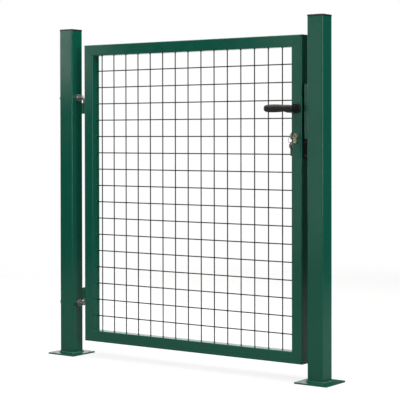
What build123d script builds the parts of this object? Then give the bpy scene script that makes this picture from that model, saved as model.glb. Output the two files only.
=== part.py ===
"""Single-leaf steel garden gate: two posts on base plates, a welded mesh leaf on two hook hinges,
and a mortice lock with lever handles and a keyed cylinder. Millimetres, Z up, X along the gate,
the opening side faces -Y. The origin is on the ground, midway between the posts."""
import os

from build123d import *

os.makedirs("parts", exist_ok=True)

# ---- posts and their feet ----
POST_X = 542.0            # post centre, either side of the origin
POST_SIZE = 60.0
POST_WALL = 2.5
POST_CORNER = 4.0
PLATE_SIZE = 125.0
PLATE_T = 5.0
PLATE_CORNER = 3.0
PLATE_HOLE_R = 5.5
PLATE_HOLE_PITCH = 95.0
WELD_LEG = 4.5
WELD_CREST = 0.5          # width left at the top of the bead
POST_TOP = 1212.0
CAP_SIZE = 62.0
CAP_T = 5.5
CAP_EDGE_R = 2.5
CAP_PLUG = 54.4
CAP_PLUG_DEPTH = 22.0
CAP_PLUG_WALL = 2.0
CAP_PLUG_CORNER = 1.4

# ---- leaf frame ----
FRAME = 40.0
FRAME_WALL = 2.0
FRAME_CORNER = 3.0
LEAF_X0 = -460.0
LEAF_X1 = 485.0
LEAF_Z0 = 57.0
LEAF_Z1 = 1154.0
LEAF_MID_X = (LEAF_X0 + LEAF_X1) / 2
LEAF_MID_Z = (LEAF_Z0 + LEAF_Z1) / 2

# ---- welded mesh ----
WIRE_R = 2.0
WIRE_OFFSET = 2.02        # vertical wires in front, horizontal wires behind
UPRIGHTS = 15
UPRIGHT_PITCH = 56.2
UPRIGHT_FIRST_X = -388.0
CROSS_WIRES = 16
CROSS_PITCH = 60.4
CROSS_FIRST_Z = 151.6

# ---- hook hinges ----
PIN_X = -473.0
PIN_R = 8.0
SLEEVE_R = 13.0
SLEEVE_BORE_R = 8.08
SLEEVE_H = 40.0
UPPER_SLEEVE_Z = 921.0
LOWER_SLEEVE_Z = 232.0
UPPER_SHANK_Z = 961.0
LOWER_SHANK_Z = 192.0
SHANK_END_X = -592.0
BEND_R = 12.0
PIN_SHORT = 2.0           # pin end inside the far end of the sleeve
BOLT_END_CHAMFER = 1.2
PIN_END_CHAMFER = 1.5
BOLT_HOLE_R = 8.6
NUT_AF = 24.0
NUT_T = 13.0
NUT_BORE_R = 8.02
NUT_CHAMFER = 1.0
WASHER_R = 15.0
WASHER_T = 3.0
COLLAR_H = 6.0
COLLAR_R = 12.0
COLLAR_BORE_R = 8.02
SADDLE_W = 19.5           # block between the sleeve and the stile
SADDLE_X0 = PIN_X + 4
SLEEVE_GAP = 0.3

# ---- lock ----
LOCK_X = 464.0            # spindle and cylinder axis
LEVER_Z = 909.0
CYL_Z = 817.0
CASE_X0 = 447.2
CASE_WALL = 1.2
CASE_HALF_Y = 8.0
CASE_Z0 = 780.0
CASE_Z1 = 955.0
FOREND_T = 3.0
FOREND_W = 24.0
FOREND_Z0 = 742.0
FOREND_Z1 = 994.0
FOREND_CORNER = 3.0
FOREND_SCREW_IN = 10.0    # screw centre from the end of the forend
FOREND_X1 = LEAF_X1 + FOREND_T
SCREW_R = 2.45
SCREW_HEAD_R = 4.6
SCREW_GAP = 0.1
SCREW_HEAD_H = 2.2
SCREW_LEN = 16.0
CYL_SCREW_LEN = 28.0

LATCH_HALF_Y = 5.5
LATCH_Z0 = 900.0
LATCH_Z1 = 924.0
LATCH_BACK_X = 482.0
LATCH_TIP_X = 496.0
LATCH_BEVEL = 8.5
LATCH_FLAT = 2.5          # unbevelled part of the latch end
TAIL_X0 = 457.0
TAIL_X1 = 484.0
TAIL_Z0 = 921.0
TAIL_Z1 = 929.0
TAIL_SLOT_X0 = 460.5
TAIL_SLOT_X1 = 470.5
TAIL_SLOT_HALF_Y = 3.0
LUG_X0 = 480.0
LUG_X1 = 484.0
LUG_Z1 = 943.0
SPRING_Z = 937.0
SPRING_R = 3.0
SPRING_WIRE_R = 0.5
SPRING_TURNS = 8
SPRING_GAP = 0.1
BOLT_X0 = 452.0
BOLT_Z0 = 838.0
BOLT_Z1 = 866.0
BOLT_HALF_Y = 5.5
BOLT_CHAMFER = 0.8
BOLT_FLUSH = 0.3          # retracted bolt end below the forend face
SLOT_GAP = 0.5

HUB_R = 10.0
HUB_HALF_Y = 6.3
HUB_JOURNAL_R = 7.0
HUB_HOLE_R = 7.3
ARM_R = 17.0
ARM_HALF_X = 2.0
ARM_HALF_Y = 2.4
SPINDLE = 8.0
SPINDLE_HALF = 54.0
SQUARE_HOLE = 8.16
SPINDLE_END_GAP = 0.3

CYL_R = 8.5
CYL_TAIL_W = 10.0
CYL_DROP = 24.5           # cylinder axis to the bottom of its tail
CYL_HALF_Y = 30.0
CYL_CLEAR = 0.3
CYL_FOOT_R = 4.0
CAM_GAP = 5.0             # half width of the slot for the cam
BRIDGE_H = 10.0
CYL_SCREW_DROP = 19.5
PLUG_BORE_R = 6.5
PLUG_R = 6.44
PLUG_GAP = 0.2            # plug from the cam
PLUG_PROUD = 0.4
KEYWAY_BACK = 2.0
CAM_RING_R = 7.6
CAM_TIP_R = 13.5
CAM_HALF_Y = 4.6
CAM_TOOTH_W = 5.0
CAM_TIP_ROUND = 1.5
KEYWAY_W = 2.4
KEYWAY_H = 8.6

KEY_T = 2.2
KEY_BLADE_T = 2.0
KEY_BLADE_H = 8.0
KEY_NECK_H = 10.0
KEY_LAP = 1.0             # blade into the bow
KEY_BLADE_END = -8.0
KEY_SHOULDER = 31.0       # shoulder of the inserted key, from the leaf's middle plane
KEY_BOW_R = 11.5
KEY_BOW_Y = -47.0
KEY_HOLE_R = 3.0
KEY_HOLE_Y = -52.0
KEY_HOLE_IN = 5.0         # hole centre from the centre of the bow
RING_R = 11.0
RING_WIRE_R = 0.8
HANG_GAP = 0.3
SPARE_BLADE = 24.0
KEY_CUTS = (2.2, 1.2, 2.8, 1.6, 2.4)      # depths of the cuts in the inserted key
SPARE_CUTS = (1.4, 2.6, 1.8, 2.2, 1.2)
CUT_W = 2.0
CUT_PITCH = 3.6
CUT_FIRST = 3.0           # first cut from the tip of the blade

ROSE_R = 17.5
ROSE_T = 8.0
ROSE_BORE_R = 9.3
ROSE_EDGE_R = 2.0
LEVER_BASE_R = 9.0
LEVER_BASE_IN = 6.5       # lever journal, depth inside the rose
LEVER_BASE_L = 8.5
# neck cross-sections: distance from the stile face, half width, half height
NECK_SECTIONS = [(ROSE_T + 0.4, 11.0, 11.0), (ROSE_T + 20.0, 8.5, 10.6), (42.0, 7.5, 10.2)]
GRIP_Y = 62.0             # grip axis in front of the leaf's middle plane
# grip cross-sections: distance from the spindle towards the hinges, half depth, half height
GRIP_SECTIONS = [(-10.0, 3.5, 5.5), (-7.5, 6.4, 8.8), (-2.0, 8.2, 10.8), (8.0, 8.8, 11.4),
                 (24.0, 8.6, 11.8), (44.0, 8.8, 13.0), (66.0, 9.2, 13.4), (84.0, 8.8, 12.6),
                 (94.0, 7.4, 10.6), (99.0, 4.6, 6.6)]
GRIP_TIP_R = 3.0
GRUB_R = 2.5
GRUB_LEN = 5.0
GRUB_OUT = 8.0            # grub screw axis from the face of the rose
GRUB_GAP = 0.05
GRUB_START = 0.1          # grub screw from the side of the spindle

# ---- keep on the lock post ----
KEEP_X0 = 497.0
KEEP_T = 3.0
KEEP_HALF_Y = 23.0
KEEP_Z0 = 808.0
KEEP_Z1 = 990.0
KEEP_WINDOW_X0 = 500.5
KEEP_WINDOW_X1 = 509.5
KEEP_WINDOW_Z0 = 897.0
KEEP_WINDOW_Z1 = 920.0
KEEP_WINDOW_DEPTH = 2.0
KEEP_BEND_R = 2.0
KEEP_SLOT_OVER = 2.0      # slot beyond each end of its bolt
CUT_SLACK = 1.0
KEEP_SLOT_HALF_Y = 7.5
TAB_X0 = 468.0
TAB_T = 3.0
TAB_H = 40.0
TAB_CORNER = 2.0
TAB_ZS = (855.0, 965.0)
BUFFER_W = 13.0
BUFFER_H = 30.0
BUFFER_IN = 2.0           # buffer from the free edge of its tab

POST_FACE_X = POST_X - POST_SIZE / 2   # post face towards the leaf
WELD_SIZE = POST_SIZE + 2 * (WELD_LEG + WELD_CREST)
INNER_Z0 = LEAF_Z0 + FRAME
INNER_Z1 = LEAF_Z1 - FRAME
INNER_X0 = LEAF_X0 + FRAME
INNER_X1 = LEAF_X1 - FRAME


def save(part, label):
    """Name a sub-part and write it to its own file."""
    part.part.label = label
    export_step(part.part, f"parts/{label}.step")


# ================= posts =================
for side, sign in (("hinge", -1), ("lock", 1)):
    with BuildPart() as plate:
        with BuildSketch(Plane.XY):
            with Locations((sign * POST_X, 0)):
                RectangleRounded(PLATE_SIZE, PLATE_SIZE, PLATE_CORNER)
            with Locations((sign * POST_X, 0)):
                with GridLocations(PLATE_HOLE_PITCH, PLATE_HOLE_PITCH, 2, 2):
                    Circle(PLATE_HOLE_R, mode=Mode.SUBTRACT)
        extrude(amount=PLATE_T)
    save(plate, f"{side}_post_base_plate")

    with BuildPart() as tube:
        with BuildSketch(Plane.XY.offset(PLATE_T)):
            with Locations((sign * POST_X, 0)):
                RectangleRounded(POST_SIZE, POST_SIZE, POST_CORNER)
                RectangleRounded(POST_SIZE - 2 * POST_WALL, POST_SIZE - 2 * POST_WALL,
                                 POST_CORNER - POST_WALL, mode=Mode.SUBTRACT)
        extrude(amount=POST_TOP - PLATE_T)
        if side == "hinge":
            with BuildSketch(Plane.YZ.offset(-POST_X - POST_SIZE)):
                with Locations((0, UPPER_SHANK_Z), (0, LOWER_SHANK_Z)):
                    Circle(BOLT_HOLE_R)
            extrude(amount=2 * POST_SIZE, mode=Mode.SUBTRACT)
    save(tube, f"{side}_post")

    with BuildPart() as weld:
        with BuildSketch(Plane.XY.offset(PLATE_T)):
            with Locations((sign * POST_X, 0)):
                RectangleRounded(WELD_SIZE, WELD_SIZE, POST_CORNER + WELD_LEG + WELD_CREST)
        extrude(amount=WELD_LEG, taper=45)
        with BuildSketch(Plane.XY.offset(PLATE_T)):
            with Locations((sign * POST_X, 0)):
                RectangleRounded(POST_SIZE, POST_SIZE, POST_CORNER)
        extrude(amount=WELD_LEG, mode=Mode.SUBTRACT)
    save(weld, f"{side}_post_foot_weld")

    with BuildPart() as cap:
        with BuildSketch(Plane.XY.offset(POST_TOP)):
            with Locations((sign * POST_X, 0)):
                RectangleRounded(CAP_SIZE, CAP_SIZE, POST_CORNER + (CAP_SIZE - POST_SIZE) / 2)
        extrude(amount=CAP_T)
        fillet(cap.faces().sort_by(Axis.Z)[-1].edges(), CAP_EDGE_R)
        with BuildSketch(Plane.XY.offset(POST_TOP)):
            with Locations((sign * POST_X, 0)):
                RectangleRounded(CAP_PLUG, CAP_PLUG, CAP_PLUG_CORNER)
                Rectangle(CAP_PLUG - 2 * CAP_PLUG_WALL, CAP_PLUG - 2 * CAP_PLUG_WALL,
                          mode=Mode.SUBTRACT)
        extrude(amount=-CAP_PLUG_DEPTH)
    save(cap, f"{side}_post_cap")

# ================= leaf frame: four mitred tubes =================
for name, x_mid, outward in (("hinge_stile", LEAF_X0 + FRAME / 2, -1),
                             ("lock_stile", LEAF_X1 - FRAME / 2, 1)):
    edge_x = LEAF_X0 if outward < 0 else LEAF_X1
    with BuildPart() as stile:
        with BuildSketch(Plane.XY.offset(LEAF_Z0)):
            with Locations((x_mid, 0)):
                RectangleRounded(FRAME, FRAME, FRAME_CORNER)
                RectangleRounded(FRAME - 2 * FRAME_WALL, FRAME - 2 * FRAME_WALL,
                                 FRAME_CORNER - FRAME_WALL, mode=Mode.SUBTRACT)
        extrude(amount=LEAF_Z1 - LEAF_Z0)
        split(bisect_by=Plane(origin=(edge_x, 0, LEAF_Z0), z_dir=(outward, 0, 1)), keep=Keep.TOP)
        split(bisect_by=Plane(origin=(edge_x, 0, LEAF_Z1), z_dir=(outward, 0, -1)), keep=Keep.TOP)
        if name == "lock_stile":
            # mortice for the lock case through the edge wall
            with BuildSketch(Plane.YZ.offset(LEAF_X1 - 2 * FRAME_WALL)):
                with Locations((0, (CASE_Z0 + CASE_Z1) / 2)):
                    Rectangle(2 * CASE_HALF_Y + 2 * SLOT_GAP, CASE_Z1 - CASE_Z0 + 2 * SLOT_GAP)
                with Locations((0, FOREND_Z0 + FOREND_SCREW_IN), (0, FOREND_Z1 - FOREND_SCREW_IN)):
                    Circle(SCREW_R)
            extrude(amount=3 * FRAME_WALL, mode=Mode.SUBTRACT)
            # spindle hole and cylinder cut-out through both faces
            with BuildSketch(Plane.XZ.offset(-FRAME)):
                with Locations((LOCK_X, LEVER_Z)):
                    Circle(HUB_HOLE_R)
                with Locations((LOCK_X, CYL_Z)):
                    Circle(CYL_R + CYL_CLEAR)
                with Locations((LOCK_X, CYL_Z - CYL_DROP / 2 - CYL_CLEAR / 2)):
                    Rectangle(CYL_TAIL_W + 2 * CYL_CLEAR, CYL_DROP + CYL_CLEAR)
            extrude(amount=2 * FRAME, mode=Mode.SUBTRACT)
    save(stile, name)

for name, z_mid, outward in (("bottom_rail", LEAF_Z0 + FRAME / 2, -1),
                             ("top_rail", LEAF_Z1 - FRAME / 2, 1)):
    edge_z = LEAF_Z0 if outward < 0 else LEAF_Z1
    with BuildPart() as rail:
        with BuildSketch(Plane.YZ.offset(LEAF_X0)):
            with Locations((0, z_mid)):
                RectangleRounded(FRAME, FRAME, FRAME_CORNER)
                RectangleRounded(FRAME - 2 * FRAME_WALL, FRAME - 2 * FRAME_WALL,
                                 FRAME_CORNER - FRAME_WALL, mode=Mode.SUBTRACT)
        extrude(amount=LEAF_X1 - LEAF_X0)
        split(bisect_by=Plane(origin=(LEAF_X0, 0, edge_z), z_dir=(1, 0, outward)), keep=Keep.TOP)
        split(bisect_by=Plane(origin=(LEAF_X1, 0, edge_z), z_dir=(-1, 0, outward)), keep=Keep.TOP)
    save(rail, name)

# ================= welded mesh =================
with BuildPart() as mesh_vertical_wires:
    with BuildSketch(Plane.XY.offset(INNER_Z0)):
        with Locations(*[(UPRIGHT_FIRST_X + i * UPRIGHT_PITCH, -WIRE_OFFSET)
                         for i in range(UPRIGHTS)]):
            Circle(WIRE_R)
    extrude(amount=INNER_Z1 - INNER_Z0)
save(mesh_vertical_wires, "mesh_vertical_wires")

with BuildPart() as mesh_horizontal_wires:
    with BuildSketch(Plane.YZ.offset(INNER_X0)):
        with Locations(*[(WIRE_OFFSET, CROSS_FIRST_Z + j * CROSS_PITCH)
                         for j in range(CROSS_WIRES)]):
            Circle(WIRE_R)
    extrude(amount=INNER_X1 - INNER_X0)
save(mesh_horizontal_wires, "mesh_horizontal_wires")

# ================= hook hinges =================
for name, shank_z, sleeve_z in (("upper", UPPER_SHANK_Z, UPPER_SLEEVE_Z),
                                ("lower", LOWER_SHANK_Z, LOWER_SLEEVE_Z)):
    towards = 1 if sleeve_z > shank_z else -1
    pin_end_z = sleeve_z + towards * (SLEEVE_H / 2 - PIN_SHORT)
    with BuildPart() as hook:
        with BuildLine() as path:
            FilletPolyline((SHANK_END_X, 0, shank_z), (PIN_X, 0, shank_z), (PIN_X, 0, pin_end_z),
                           radius=BEND_R)
        with BuildSketch(Plane(origin=(SHANK_END_X, 0, shank_z), z_dir=(1, 0, 0))):
            Circle(PIN_R)
        sweep()
        chamfer(hook.faces().sort_by(Axis.X)[0].edges(), BOLT_END_CHAMFER)
        pin_tip = hook.faces().filter_by(Axis.Z).sort_by(Axis.Z)[-1 if towards > 0 else 0]
        chamfer(pin_tip.edges(), PIN_END_CHAMFER)
    save(hook, f"{name}_hinge_bolt")

    with BuildPart() as sleeve:
        with BuildSketch(Plane.XY.offset(sleeve_z - SLEEVE_H / 2)):
            with Locations((PIN_X, 0)):
                Circle(SLEEVE_R)
            with Locations(((LEAF_X0 + SADDLE_X0) / 2, 0)):
                Rectangle(LEAF_X0 - SADDLE_X0, SADDLE_W)
            with Locations((PIN_X, 0)):
                Circle(SLEEVE_BORE_R, mode=Mode.SUBTRACT)
        extrude(amount=SLEEVE_H)
    save(sleeve, f"{name}_hinge_sleeve")

with BuildPart() as hinge_nuts:
    for face_x in (-POST_FACE_X, -POST_X - POST_SIZE / 2 - WASHER_T - NUT_T):
        with BuildSketch(Plane.YZ.offset(face_x)):
            with Locations((0, UPPER_SHANK_Z), (0, LOWER_SHANK_Z)):
                RegularPolygon(NUT_AF / 2, 6, major_radius=False)
                Circle(NUT_BORE_R, mode=Mode.SUBTRACT)
        extrude(amount=NUT_T)
    corner_edges = hinge_nuts.edges().filter_by(GeomType.LINE).filter_by(
        lambda e: abs(e.tangent_at(0).X) < 0.01)
    chamfer(corner_edges, NUT_CHAMFER)
save(hinge_nuts, "hinge_nuts")

with BuildPart() as hinge_washers:
    with BuildSketch(Plane.YZ.offset(-POST_X - POST_SIZE / 2 - WASHER_T)):
        with Locations((0, UPPER_SHANK_Z), (0, LOWER_SHANK_Z)):
            Circle(WASHER_R)
            Circle(BOLT_HOLE_R, mode=Mode.SUBTRACT)
    extrude(amount=WASHER_T)
save(hinge_washers, "hinge_washers")

with BuildPart() as hinge_collar:
    with BuildSketch(Plane.XY.offset(LOWER_SLEEVE_Z - SLEEVE_H / 2 - SLEEVE_GAP - COLLAR_H)):
        with Locations((PIN_X, 0)):
            Circle(COLLAR_R)
            Circle(COLLAR_BORE_R, mode=Mode.SUBTRACT)
    extrude(amount=COLLAR_H)
save(hinge_collar, "hinge_thrust_collar")

# ================= keep, stop tabs and buffers on the lock post =================
keep_mid_z = (KEEP_Z0 + KEEP_Z1) / 2
keep_depth = POST_FACE_X - KEEP_X0
with BuildPart() as strike_keep:
    with BuildSketch(Plane.XY.offset(KEEP_Z0)):
        with Locations((KEEP_X0 + keep_depth / 2, 0)):
            Rectangle(keep_depth, 2 * KEEP_HALF_Y)
        with Locations((KEEP_X0 + KEEP_T + keep_depth / 2, 0)):
            Rectangle(keep_depth, 2 * (KEEP_HALF_Y - KEEP_T), mode=Mode.SUBTRACT)
    extrude(amount=KEEP_Z1 - KEEP_Z0)
    bend_edges = strike_keep.edges().filter_by(Axis.Z).group_by(Axis.X)[0]
    fillet(bend_edges, KEEP_BEND_R)
    with BuildSketch(Plane.YZ.offset(KEEP_X0 - CUT_SLACK)):
        with Locations((0, (LATCH_Z0 + LATCH_Z1) / 2)):
            Rectangle(2 * KEEP_SLOT_HALF_Y, LATCH_Z1 - LATCH_Z0 + 2 * KEEP_SLOT_OVER)
        with Locations((0, (BOLT_Z0 + BOLT_Z1) / 2)):
            Rectangle(2 * KEEP_SLOT_HALF_Y, BOLT_Z1 - BOLT_Z0 + 2 * KEEP_SLOT_OVER)
    extrude(amount=KEEP_T + 2 * CUT_SLACK, mode=Mode.SUBTRACT)
    with BuildSketch(Plane.XZ.offset(KEEP_HALF_Y - KEEP_WINDOW_DEPTH)):
        with Locations(((KEEP_WINDOW_X0 + KEEP_WINDOW_X1) / 2,
                        (KEEP_WINDOW_Z0 + KEEP_WINDOW_Z1) / 2)):
            Rectangle(KEEP_WINDOW_X1 - KEEP_WINDOW_X0, KEEP_WINDOW_Z1 - KEEP_WINDOW_Z0)
    extrude(amount=KEEP_WINDOW_DEPTH + CUT_SLACK, mode=Mode.SUBTRACT)
save(strike_keep, "strike_keep")

with BuildPart() as stop_tabs:
    with BuildSketch(Plane.XZ.offset(-KEEP_HALF_Y)):
        with Locations(*[((TAB_X0 + POST_FACE_X) / 2, z) for z in TAB_ZS]):
            RectangleRounded(POST_FACE_X - TAB_X0, TAB_H, TAB_CORNER)
    extrude(amount=-TAB_T)
save(stop_tabs, "leaf_stop_tabs")

with BuildPart() as buffers:
    with BuildSketch(Plane.XZ.offset(-KEEP_HALF_Y)):
        with Locations(*[(TAB_X0 + BUFFER_IN + BUFFER_W / 2, z) for z in TAB_ZS]):
            RectangleRounded(BUFFER_W, BUFFER_H, TAB_CORNER)
    extrude(amount=KEEP_HALF_Y - FRAME / 2 - SLEEVE_GAP)
save(buffers, "leaf_stop_buffers")

# ================= lock case =================
case_mid_z = (CASE_Z0 + CASE_Z1) / 2
case_depth = LEAF_X1 - CASE_X0
with BuildPart() as lock_case:
    with BuildSketch(Plane.YZ.offset(CASE_X0)):
        with Locations((0, case_mid_z)):
            Rectangle(2 * CASE_HALF_Y, CASE_Z1 - CASE_Z0)
    extrude(amount=case_depth)
    with BuildSketch(Plane.YZ.offset(CASE_X0 + CASE_WALL)):
        with Locations((0, case_mid_z)):
            Rectangle(2 * (CASE_HALF_Y - CASE_WALL), CASE_Z1 - CASE_Z0 - 2 * CASE_WALL)
    extrude(amount=case_depth, mode=Mode.SUBTRACT)
    with BuildSketch(Plane.XZ.offset(-FRAME)):
        with Locations((LOCK_X, LEVER_Z)):
            Circle(HUB_HOLE_R)
        with Locations((LOCK_X, CYL_Z)):
            Circle(CYL_R + CYL_CLEAR)
        with Locations((LOCK_X, CYL_Z - CYL_DROP / 2 - CYL_CLEAR / 2)):
            Rectangle(CYL_TAIL_W + 2 * CYL_CLEAR, CYL_DROP + CYL_CLEAR)
    extrude(amount=2 * FRAME, mode=Mode.SUBTRACT)
save(lock_case, "lock_case")

with BuildPart() as lock_forend:
    with BuildSketch(Plane.YZ.offset(LEAF_X1)):
        with Locations((0, (FOREND_Z0 + FOREND_Z1) / 2)):
            RectangleRounded(FOREND_W, FOREND_Z1 - FOREND_Z0, FOREND_CORNER)
        with Locations((0, (LATCH_Z0 + LATCH_Z1) / 2)):
            Rectangle(2 * (LATCH_HALF_Y + SLOT_GAP), LATCH_Z1 - LATCH_Z0 + 2 * SLOT_GAP,
                      mode=Mode.SUBTRACT)
        with Locations((0, (BOLT_Z0 + BOLT_Z1) / 2)):
            Rectangle(2 * (BOLT_HALF_Y + SLOT_GAP), BOLT_Z1 - BOLT_Z0 + 2 * SLOT_GAP,
                      mode=Mode.SUBTRACT)
    extrude(amount=FOREND_T)
    with Locations(Plane.YZ.offset(FOREND_X1)):
        with Locations((0, FOREND_Z0 + FOREND_SCREW_IN), (0, FOREND_Z1 - FOREND_SCREW_IN),
                       (0, CYL_Z - CYL_SCREW_DROP)):
            CounterSinkHole(radius=SCREW_R + SCREW_GAP,
                            counter_sink_radius=SCREW_HEAD_R + SCREW_GAP)
save(lock_forend, "lock_forend")


# countersunk screws along X, their heads flush with the forend face
for name, length, heights in (
        ("forend_screws", SCREW_LEN, (FOREND_Z0 + FOREND_SCREW_IN, FOREND_Z1 - FOREND_SCREW_IN)),
        ("cylinder_fixing_screw", CYL_SCREW_LEN, (CYL_Z - CYL_SCREW_DROP,))):
    with BuildPart() as screws:
        with BuildSketch(Plane.YZ.offset(FOREND_X1 - length)):
            with Locations(*[(0, z) for z in heights]):
                Circle(SCREW_R)
        extrude(amount=length)
        with BuildSketch(Plane.YZ.offset(FOREND_X1)):
            with Locations(*[(0, z) for z in heights]):
                Circle(SCREW_HEAD_R)
        extrude(amount=-SCREW_HEAD_H, taper=45)
    save(screws, name)

# ================= latch, spring and dead bolt =================
with BuildPart() as latch_bolt:
    with BuildSketch(Plane.XY.offset(LATCH_Z0)):
        with BuildLine():
            Polyline((LATCH_BACK_X, -LATCH_HALF_Y), (LATCH_TIP_X, -LATCH_HALF_Y),
                     (LATCH_TIP_X, -LATCH_HALF_Y + LATCH_FLAT),
                     (LATCH_TIP_X - LATCH_BEVEL, LATCH_HALF_Y),
                     (LATCH_BACK_X, LATCH_HALF_Y), (LATCH_BACK_X, -LATCH_HALF_Y))
        make_face()
    extrude(amount=LATCH_Z1 - LATCH_Z0)
    with BuildSketch(Plane.XY.offset(TAIL_Z0)):
        with Locations(((TAIL_X0 + TAIL_X1) / 2, 0)):
            Rectangle(TAIL_X1 - TAIL_X0, 2 * LATCH_HALF_Y)
        with Locations(((TAIL_SLOT_X0 + TAIL_SLOT_X1) / 2, 0)):
            Rectangle(TAIL_SLOT_X1 - TAIL_SLOT_X0, 2 * TAIL_SLOT_HALF_Y, mode=Mode.SUBTRACT)
    extrude(amount=TAIL_Z1 - TAIL_Z0)
    with BuildSketch(Plane.XY.offset(TAIL_Z1)):
        with Locations(((LUG_X0 + LUG_X1) / 2, 0)):
            Rectangle(LUG_X1 - LUG_X0, 2 * LATCH_HALF_Y)
    extrude(amount=LUG_Z1 - TAIL_Z1)
save(latch_bolt, "latch_bolt")

spring_x0 = CASE_X0 + CASE_WALL + SPRING_WIRE_R + SPRING_GAP
spring_len = LUG_X0 - SPRING_WIRE_R - SPRING_GAP - spring_x0
with BuildPart() as latch_spring:
    with BuildLine() as coil:
        Helix(pitch=spring_len / SPRING_TURNS, height=spring_len, radius=SPRING_R,
              center=(spring_x0, 0, SPRING_Z), direction=(1, 0, 0))
    with BuildSketch(Plane(origin=coil.line @ 0, z_dir=coil.line % 0)):
        Circle(SPRING_WIRE_R)
    sweep(is_frenet=True)
save(latch_spring, "latch_spring")

with BuildPart() as dead_bolt:
    with BuildSketch(Plane.XY.offset(BOLT_Z0)):
        with Locations(((BOLT_X0 + FOREND_X1 - BOLT_FLUSH) / 2, 0)):
            Rectangle(FOREND_X1 - BOLT_FLUSH - BOLT_X0, 2 * BOLT_HALF_Y)
    extrude(amount=BOLT_Z1 - BOLT_Z0)
    chamfer(dead_bolt.faces().sort_by(Axis.X)[-1].edges(), BOLT_CHAMFER)
save(dead_bolt, "dead_bolt")

# ================= follower, spindle, levers =================
with BuildPart() as follower:
    with BuildSketch(Plane.XZ.offset(-HUB_HALF_Y)):
        with Locations((LOCK_X, LEVER_Z)):
            Circle(HUB_R)
    extrude(amount=2 * HUB_HALF_Y)
    with BuildSketch(Plane.XZ.offset(-CASE_HALF_Y)):
        with Locations((LOCK_X, LEVER_Z)):
            Circle(HUB_JOURNAL_R)
    extrude(amount=2 * CASE_HALF_Y)
    with BuildSketch(Plane.XZ.offset(-ARM_HALF_Y)):
        with Locations((LOCK_X, LEVER_Z + ARM_R / 2)):
            Rectangle(2 * ARM_HALF_X, ARM_R)
    extrude(amount=2 * ARM_HALF_Y)
    with BuildSketch(Plane.XZ.offset(-FRAME)):
        with Locations((LOCK_X, LEVER_Z)):
            Rectangle(SQUARE_HOLE, SQUARE_HOLE)
    extrude(amount=2 * FRAME, mode=Mode.SUBTRACT)
save(follower, "latch_follower")

with BuildPart() as spindle:
    with BuildSketch(Plane.XZ.offset(-SPINDLE_HALF)):
        with Locations((LOCK_X, LEVER_Z)):
            Rectangle(SPINDLE, SPINDLE)
    extrude(amount=2 * SPINDLE_HALF)
save(spindle, "lever_spindle")

for side, face in (("front", -1), ("rear", 1)):
    wall_y = face * FRAME / 2
    rose_plane = Plane(origin=(LOCK_X, wall_y, LEVER_Z), x_dir=(1, 0, 0), z_dir=(0, face, 0))
    with BuildPart() as rose:
        with BuildSketch(rose_plane):
            Circle(ROSE_R)
        extrude(amount=ROSE_T)
        rim = rose.edges().filter_by(GeomType.CIRCLE).sort_by(Axis.Y)
        fillet(rim[-1 if face > 0 else 0], ROSE_EDGE_R)
        with BuildSketch(rose_plane):
            Circle(ROSE_BORE_R)
        extrude(amount=ROSE_T + 1, mode=Mode.SUBTRACT)
    save(rose, f"{side}_rose")

    with BuildPart() as lever:
        # journal inside the rose, then the neck out to the grip
        with BuildSketch(rose_plane.offset(ROSE_T - LEVER_BASE_IN)):
            Circle(LEVER_BASE_R)
        extrude(amount=LEVER_BASE_L)
        for out, half_width, half_height in NECK_SECTIONS:
            with BuildSketch(rose_plane.offset(out)):
                Ellipse(half_width, half_height)
        loft()
        for along, half_depth, half_height in GRIP_SECTIONS:
            with BuildSketch(Plane(origin=(LOCK_X - along, face * GRIP_Y, LEVER_Z),
                                   x_dir=(0, 1, 0), z_dir=(-1, 0, 0))):
                Ellipse(half_depth, half_height)
        loft()
        fillet(lever.faces().filter_by(GeomType.PLANE).sort_by(Axis.X)[0].edges(), GRIP_TIP_R)
        with BuildSketch(rose_plane):
            Rectangle(SQUARE_HOLE, SQUARE_HOLE)
        extrude(amount=SPINDLE_HALF - FRAME / 2 + SPINDLE_END_GAP, mode=Mode.SUBTRACT)
        with BuildSketch(Plane(origin=(LOCK_X, wall_y + face * (ROSE_T + GRUB_OUT), LEVER_Z),
                               x_dir=(1, 0, 0), z_dir=(0, 0, -1))):
            Circle(GRUB_R + GRUB_GAP)
        extrude(amount=ROSE_R, mode=Mode.SUBTRACT)
    save(lever, f"{side}_lever")

with BuildPart() as grub_screws:
    for face in (-1, 1):
        grub_y = face * (FRAME / 2 + ROSE_T + GRUB_OUT)
        with BuildSketch(Plane(origin=(LOCK_X, grub_y, LEVER_Z - SPINDLE / 2 - GRUB_START),
                               x_dir=(1, 0, 0), z_dir=(0, 0, -1))):
            Circle(GRUB_R)
        extrude(amount=GRUB_LEN)
save(grub_screws, "lever_grub_screws")

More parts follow.
